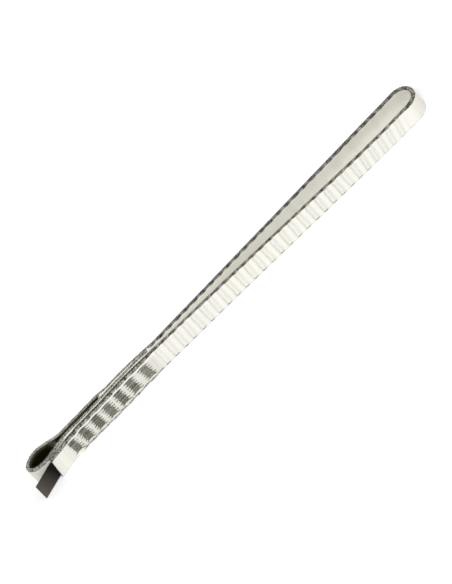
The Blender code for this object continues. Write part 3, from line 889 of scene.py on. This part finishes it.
# How light the threads of each bartack are
TACK_TONES = (0.17, 0.15, 0.13, 0.3, 0.18, 0.23, 0.36)

# Where the two outer faces lie, as y over x, and which way they face
FACES = []
for stretch, outward in (("front", -1), ("back", 1)):
    _, face_x, face_y = stretch_points(stretch, FACE_OVERLAP)
    FACES.append((face_x, face_y + outward * PRESSED * VISUAL_THICKNESS / 2, outward))


def thread_tube(path, wide, high, sides):
    """A flattened thread along a list of points, lying in an upright plane that faces along y."""
    along = np.gradient(path, axis=0)
    along /= np.linalg.norm(along, axis=1)[:, None]
    across = np.cross(along, np.array([0.0, 1.0, 0.0]))
    across /= np.linalg.norm(across, axis=1)[:, None]
    lift = np.cross(across, along)
    angles = np.arange(sides) * 2 * pi / sides
    ring = across[:, None, :] * (wide * MM / 2 * np.cos(angles))[None, :, None]
    ring += lift[:, None, :] * (high * MM / 2 * np.sin(angles))[None, :, None]
    return np.array(path)[:, None, :] + ring


def make_tack(number, place):
    """A bartack on both faces: rows of doubled thread across it, over stitches that run up it."""
    rng = np.random.default_rng(100 + number)
    bottom = TACK_MIDDLE - TACK_WIDTH / 2
    points, faces, tones = [], [], []

    def add_thread(path, thread, tone, sides):
        first = sum(map(len, points))
        last = first + (len(path) - 1) * sides
        faces.extend(tube_faces(len(path), sides, first))
        faces.append(tuple(range(first, first + sides)))
        faces.append(tuple(range(last + sides - 1, last - 1, -1)))
        points.append(thread_tube(path, *thread, sides).reshape(-1, 3))
        tones.append(np.repeat(tone, sides))

    for face_x, face_y, outward in FACES:

        def spot(x, height, lift):
            x = place + x - tack_skew(height)
            return x, float(np.interp(x, face_x, face_y)) + outward * lift, height

        for offset in UPRIGHTS:
            end = UPRIGHT_END * MM
            path = []
            for height in np.linspace(bottom + end, bottom + TACK_WIDTH - end, UPRIGHT_POINTS):
                stray = rng.normal(0, UPRIGHT_STRAY * MM)
                dip = UPRIGHT_END_DIP if len(path) in (0, UPRIGHT_POINTS - 1) else 0.0
                path.append(spot(offset * MM + stray, height, (UPRIGHT_SINK - dip) * MM))
            tone = 0.75 + 0.25 * np.sin(np.arange(UPRIGHT_POINTS) * 2.1 + offset * 5)
            add_thread(path, UPRIGHT_THREAD, tone, 6)
        for row in range(ROWS):
            level = bottom + (row + 0.5) * ROW_PITCH
            left = -(ROW_LEFT + ROW_END_STRAY * rng.uniform(-1, 1)) * MM
            right = (ROW_RIGHT + ROW_END_STRAY * rng.uniform(-1, 1)) * MM
            tilt = ROW_TILT * MM * rng.uniform(-1, 1)
            for shift, lift in ROW_PAIR:
                path = []
                for t in np.arange(ROW_POINTS) / (ROW_POINTS - 1):
                    from_end = min(t, 1 - t)
                    pinch = 0.35 + 0.65 * min(1.0, from_end / 0.22)
                    dip = ROW_END_DIP * (1 - min(from_end / 0.14, 1.0)) ** 1.5
                    height = level + shift * MM * pinch + tilt * (t - 0.5)
                    path.append(spot(left + (right - left) * t, height, (lift - dip) * MM))
                wave = np.sin(np.arange(ROW_POINTS) * 1.5 + row * 2.2 + (shift > 0) * pi)
                tone = 0.22 + 0.22 * wave + 0.25 * rng.uniform(-1, 1) + TACK_TONES[number - 1]
                add_thread(path, ROW_THREAD, tone, 8)
    values = {"tone": clamp01(np.concatenate(tones))}
    return new_piece(f"tack_threads_{number}", np.vstack(points), faces, values, THREAD_SHARP_ANGLE)


tacks = [make_tack(index + 1, place) for index, place in enumerate(TACK_CENTRES)]


# ---- materials


class Shader:
    """Adds and links the nodes of a material or a world."""

    def __init__(self, owner):
        owner.use_nodes = True
        self.owner, self.nodes, self.links = owner, owner.node_tree.nodes, owner.node_tree.links

    def put(self, node, inputs):
        """Sets or links a node's inputs, given by their names or places."""
        for key, value in inputs.items():
            if isinstance(value, Output):
                self.links.new(value.socket, node.inputs[key])
            else:
                node.inputs[key].default_value = (*value, 1) if isinstance(value, tuple) else value

    def new(self, kind, inputs, output=0, **settings):
        """One output of a new node."""
        node = self.nodes.new("ShaderNode" + kind)
        for key, value in settings.items():
            setattr(node, key, value)
        self.put(node, inputs)
        return Output(self, node.outputs[output])

    def values(self, *names):
        return [self.new("Attribute", {}, "Fac", attribute_name=name) for name in names]

    def plane(self, x, y):
        return self.new("CombineXYZ", {0: x, 1: y})

    def noise(self, vector, scale, detail=2.0, rough=0.5):
        inputs = {"Vector": vector, "Scale": scale, "Detail": detail, "Roughness": rough}
        return self.new("TexNoise", inputs, "Fac")

    def mix(self, share, first, second):
        return self.new("Mix", {"Factor": share, 6: first, 7: second}, 2, data_type="RGBA")

    def finish(self, colour, height, distance, strength, look):
        """Gives a material its colour, its bump from a height, and its constant values."""
        bumps = self.new("Bump", {"Strength": strength, "Distance": distance, "Height": height})
        self.put(self.nodes["Principled BSDF"], {"Base Color": colour, "Normal": bumps, **look})
        return self.owner


class Output:
    """A node's output, with arithmetic that adds nodes after it."""

    def __init__(self, shader, socket):
        self.shader, self.socket = shader, socket

    def math(self, operation, *others, clamp=False):
        inputs = dict(enumerate((self, *others)))
        return self.shader.new("Math", inputs, operation=operation, use_clamp=clamp)

    def __add__(self, other):
        return self.math("ADD", other)

    def __sub__(self, other):
        return self.math("SUBTRACT", other)

    def __mul__(self, other):
        return self.math("MULTIPLY", other)

    def waves(self, pitch):
        return (self * (2 * pi / pitch)).math("SINE")

    def ramp(self, low, high, to_low=0.0, to_high=1.0, kind="SMOOTHSTEP"):
        inputs = dict(enumerate((self, low, high, to_low, to_high)))
        return self.shader.new("MapRange", inputs, interpolation_type=kind)


def srgb(red, green, blue):
    """A linear colour from the usual 0 to 255 values."""
    shares = (value / 255 for value in (red, green, blue))
    return tuple(v / 12.92 if v <= 0.04045 else ((v + 0.055) / 1.055) ** 2.4 for v in shares)


# Colours of the webbing
FACE = srgb(250, 248, 239)
FACE_MOTTLED = srgb(245, 243, 233)
FACE_PAINTED_LIGHT = srgb(254, 252, 244)
TROUGH_PAINTED_SHADE = srgb(230, 229, 224)
LINE_PAINTED_SHADE = srgb(212, 209, 200)
FLECK = srgb(216, 214, 206)
SHADED = srgb(231, 229, 219)
INNER_PATCH_SHADE = srgb(222, 221, 217)
SEWN_GAP_SHADE = srgb(104, 102, 90)
DARK_EDGE = srgb(38, 37, 28)
LIGHT_EDGE = srgb(200, 197, 187)

# Colours of the thread, the liner and the label
DARK_THREAD = srgb(52, 50, 42)
LIGHT_THREAD = srgb(168, 166, 154)
LINER_BLACK = srgb(15, 14, 2)
LINER_BLACK_LIGHTER = srgb(22, 20, 4)
LINER_PAINTED_LIGHT = srgb(62, 58, 44)
STRAY_THREAD = srgb(150, 148, 136)
LABEL_BLACK = srgb(9, 9, 6)
LABEL_BLACK_LIGHTER = srgb(17, 17, 12)
LABEL_PAINTED_SHEEN = srgb(91, 87, 78)

# Pitches of the weaves, in mm
WARP_PITCH, WEFT_PITCH = 0.55, 0.7
KNOT_PITCH_ALONG, KNOT_PITCH_AROUND = 0.92, 0.62
LINER_RIB_PITCH = 0.5
LABEL_RIB_PITCH, LABEL_WARP_PITCH = 0.32, 0.4


def strap_material(s):
    along, around, low, line, light = s.values("along", "around", "low", "line", "light")
    gap, shade, inside, tone, rim, margin = s.values("gap", "shade", "inside", "tone", "rim", "margin")
    place = s.plane(along, around)
    # white face, with soft mottling, painted light on crests, puffs and the inner face's foot, painted
    # shade in the troughs and on the broken lines, and flecks
    face = s.mix(s.noise(place, 0.9, 3.0).ramp(0.3, 0.7), FACE, FACE_MOTTLED)
    face = s.mix(light * 0.8, face, FACE_PAINTED_LIGHT)
    face = s.mix(low * 0.9, face, TROUGH_PAINTED_SHADE)
    dots = s.noise(s.plane(along * 0.8, around * 1.5), 1.0, 1.0).ramp(0.25, 0.75, 0.55, 1.25)
    face = s.mix(line * dots * 0.9, face, LINE_PAINTED_SHADE)
    flecks = s.noise(s.plane(along * 2.2, around), 0.8).ramp(0.48, 0.7)
    face = s.mix(flecks * (low * 0.3 + 0.1), face, FLECK)
    # painted shade, then patches of painted shade on the inner face
    face = s.mix(shade, face, SHADED)
    shade_patches = s.noise(s.plane(along * 0.16, around * 0.05), 1.0).ramp(0.42, 0.62)
    face = s.mix(shade_patches * inside * 0.5, face, INNER_PATCH_SHADE)
    # painted shade in the sewn gaps, broken by knots of thread
    knots = along.waves(KNOT_PITCH_ALONG) * around.waves(KNOT_PITCH_AROUND)
    face = s.mix(gap * (knots * 0.55 + 1.0) * 0.92, face, SEWN_GAP_SHADE)
    # selvedge threads, up to a ragged border
    tone = tone.math("ADD", (s.noise(place, 1.5) - 0.5) * 0.8, clamp=True)
    beyond = rim.math("ABSOLUTE") - margin + (s.noise(place, 1.2) - 0.5) * 0.4
    edge = beyond.ramp(-0.07, 0.07, 1.0, 0.0)
    colour = s.mix(edge, face, s.mix(tone, DARK_EDGE, LIGHT_EDGE))
    # weave
    slanted = along * (2 * pi / WEFT_PITCH) + around * 5.7
    height = around.waves(WARP_PITCH) * slanted.math("SINE") + s.noise(place, 6.0) * 0.6
    look = {"Roughness": 0.82, "Sheen Weight": 0.08, "Specular IOR Level": 0.25}
    return s.finish(colour, height, 0.035 * MM, 0.8, look)


def thread_material(s):
    (tone,) = s.values("tone")
    coords = s.new("TexCoord", {}, "Object")
    tone = tone.math("ADD", (s.noise(coords, 1100.0, 2.0, 0.6) - 0.5) * 0.9, clamp=True)
    look = {"Roughness": 0.6, "Sheen Weight": 0.12, "Specular IOR Level": 0.35}
    colour = s.mix(tone, DARK_THREAD, LIGHT_THREAD)
    return s.finish(colour, s.noise(coords, 5200.0), 0.05 * MM, 0.7, look)


def liner_material(s):
    along, around, painted_edge_light, threads = s.values("along", "around", "painted_edge_light", "threads")
    grain = s.noise(s.plane(along, around), 2.0, 3.0).ramp(0.35, 0.7)
    # painted light on the upper edge, over the black
    colour = s.mix(painted_edge_light, s.mix(grain, LINER_BLACK, LINER_BLACK_LIGHTER), LINER_PAINTED_LIGHT)
    # stray threads of the strap where the eye closes
    stray = s.noise(s.plane(along * 1.9, around * 1.3), 1.0, 1.0).ramp(0.44, 0.6)
    colour = s.mix(stray * threads * 0.75, colour, STRAY_THREAD)
    ribs = around.waves(LINER_RIB_PITCH)
    look = {"Roughness": 0.8, "Specular IOR Level": 0.06}
    return s.finish(colour, ribs, 0.03 * MM, 0.6, look)


def label_material(s):
    along, across = s.values("along", "across")
    grain = s.noise(s.plane(along, across), 1.6, 3.0).ramp(0.3, 0.7)
    # painted sheen: it grows greyer towards its free end, and sooner at its lower edge
    painted_sheen = (along + across * -0.32).ramp(18.7, 31.5, kind="LINEAR")
    colour = s.mix(painted_sheen, s.mix(grain, LABEL_BLACK, LABEL_BLACK_LIGHTER), LABEL_PAINTED_SHEEN)
    height = across.waves(LABEL_RIB_PITCH) * 0.6 + along.waves(LABEL_WARP_PITCH) * 0.4
    look = {"Roughness": 0.7, "Specular IOR Level": 0.14}
    return s.finish(colour, height, 0.03 * MM, 0.7, look)


for slot, make_material, name, pieces in (
    ("strap", strap_material, "webbing", (flap_piece, loop_piece, eye_piece)),
    ("thread", thread_material, "tack_thread", tacks),
    ("liner", liner_material, "liner_black", (liner_piece,)),
    ("label", label_material, "label_woven", (label_sewn, label_free)),
):
    material = make_material(Shader(bpy.data.materials.new(name)))
    for piece in pieces:
        piece.data.materials.append(material)


# ---- bodies

# Places along the sling where a piece leaves the sewn section, and where it wholly follows what
# bends away from it. The label's places are along the flap.
SEWN_EDGE = -25.4 * MM
EYE_FOLLOWS = -31.5 * MM
FLAP_FOLLOWS = -29.6 * MM
LOOP_LEAVES, LOOP_FOLLOWS = 31.8 * MM, 45.0 * MM
LABEL_HINGE = FLAP_REACH + LABEL_HINGE_GAP
LABEL_LEAVES, LABEL_FOLLOWS = LABEL_HINGE - 0.4 * MM, LABEL_HINGE + 1.6 * MM
LABEL_SIDE = HALF + 0.55 * MM

neck = ((SEWN_EDGE, NECK_Y), (EYE_FOLLOWS, NECK_Y))
flap_root = ((SEWN_EDGE, FLAP_HINGE[1]), (FLAP_FOLLOWS, FLAP_HINGE[1]))
fork = ((LOOP_LEAVES, 0), (LOOP_FOLLOWS, 0))
label_root = (on_flap(LABEL_LEAVES, LABEL_SIDE), on_flap(LABEL_FOLLOWS, LABEL_SIDE))

for piece, bodies, (start, end), replaced in (
    (eye_piece, "sewn_section small_eye", neck, "strap_small_eye strap_middle_layer strap_back_layer"),
    (liner_piece, "sewn_section small_eye", neck, "eye_liner eye_liner_tail"),
    (flap_piece, "sewn_section end_flap", flap_root, "strap_end_flap strap_front_layer"),
    (label_sewn, "sewn_section end_flap", flap_root, "label_sewn_end label_under_flap"),
    (loop_piece, "sewn_section long_loop", fork, "strap_long_loop strap_front_layer strap_back_layer"),
    (label_free, "end_flap label", label_root, "label_under_flap label_free_end"),
):
    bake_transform(piece)
    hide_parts(*replaced.split())

for index, piece in enumerate(tacks):
    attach(piece, "sewn_section")
    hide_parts(f"bartack_{index + 1}")


# ---- studio

ELEVATION = radians(40)
HEADING = radians(4)
ROLL = radians(43.14)
FRAME_HEIGHT = 0.2690
LENS = 600.0
SENSOR = 36.0
TARGET = Vector((0.0752, -0.01074, 0.0110))

WHITE = (1.0, 1.0, 1.0)
FLOOR_REACH = 6.0
FLOOR_DROP = 0.05 * MM
FLOOR_GREY = (0.80, 0.80, 0.80)
FLOOR_GLOW = 0.26
SOFT_LIGHT = 0.70
BACKGROUND = 1.0
LIT_PLACE = Vector((0.08, 0, 0))


def make_camera():
    level = Vector((cos(HEADING), -sin(HEADING), 0))
    back = Vector((-cos(ELEVATION) * sin(HEADING), -cos(ELEVATION) * cos(HEADING), sin(ELEVATION)))
    above = back.cross(level)
    right = cos(ROLL) * level - sin(ROLL) * above
    upward = sin(ROLL) * level + cos(ROLL) * above
    data = bpy.data.cameras.new("camera")
    data.lens = LENS
    data.sensor_width = SENSOR
    data.clip_end = 100.0
    camera = link_object("camera", data)
    turn = Matrix((right, upward, back)).transposed().to_4x4()
    camera.matrix_world = Matrix.Translation(TARGET + back * (FRAME_HEIGHT * LENS / SENSOR)) @ turn
    bpy.context.scene.camera = camera


def make_floor():
    """A plain pale floor, which glows a little for the camera alone."""
    mesh = bpy.data.meshes.new("floor")
    corners = [(x * FLOOR_REACH, y * FLOOR_REACH, 0) for x, y in ((-1, -1), (1, -1), (1, 1), (-1, 1))]
    mesh.from_pydata(corners, [], [(0, 1, 2, 3)])
    s = Shader(bpy.data.materials.new("floor_paper"))
    paper = s.nodes["Principled BSDF"]
    s.put(paper, {"Base Color": FLOOR_GREY, "Roughness": 0.9, "Specular IOR Level": 0.0})
    glow = s.new("Emission", {"Strength": s.new("LightPath", {}, "Is Camera Ray") * FLOOR_GLOW})
    surface = s.new("AddShader", {0: Output(s, paper.outputs[0]), 1: glow})
    s.put(s.nodes["Material Output"], {"Surface": surface})
    mesh.materials.append(s.owner)
    floor = link_object("floor", mesh)
    floor.location = (0, 0, -FLOOR_DROP)


def make_world():
    """Soft white light from all round, and a white background for the camera."""
    s = Shader(bpy.data.worlds.new("studio"))
    bpy.context.scene.world = s.owner
    soft = s.nodes["Background"]
    s.put(soft, {"Color": WHITE, "Strength": SOFT_LIGHT})
    white = s.new("Background", {"Color": WHITE, "Strength": BACKGROUND})
    camera_ray = s.new("LightPath", {}, "Is Camera Ray")
    surface = s.new("MixShader", {0: camera_ray, 1: Output(s, soft.outputs[0]), 2: white})
    s.put(s.nodes["World Output"], {"Surface": surface})


def make_lamp(name, place, size, power):
    data = bpy.data.lights.new(name, "AREA")
    data.shape = "DISK"
    data.size = size
    data.energy = power
    lamp = link_object(name, data)
    lamp.location = place
    lamp.visible_camera = False
    lamp.rotation_euler = (LIT_PLACE - Vector(place)).to_track_quat("-Z", "Y").to_euler()


make_camera()
make_floor()
make_world()
make_lamp("key", place=(-0.83, -2.37, 3.1), size=1.2, power=51.5)
make_lamp("fill", place=(1.2, -0.7, 1.0), size=1.0, power=4.0)

bpy.context.scene.view_settings.view_transform = "Standard"
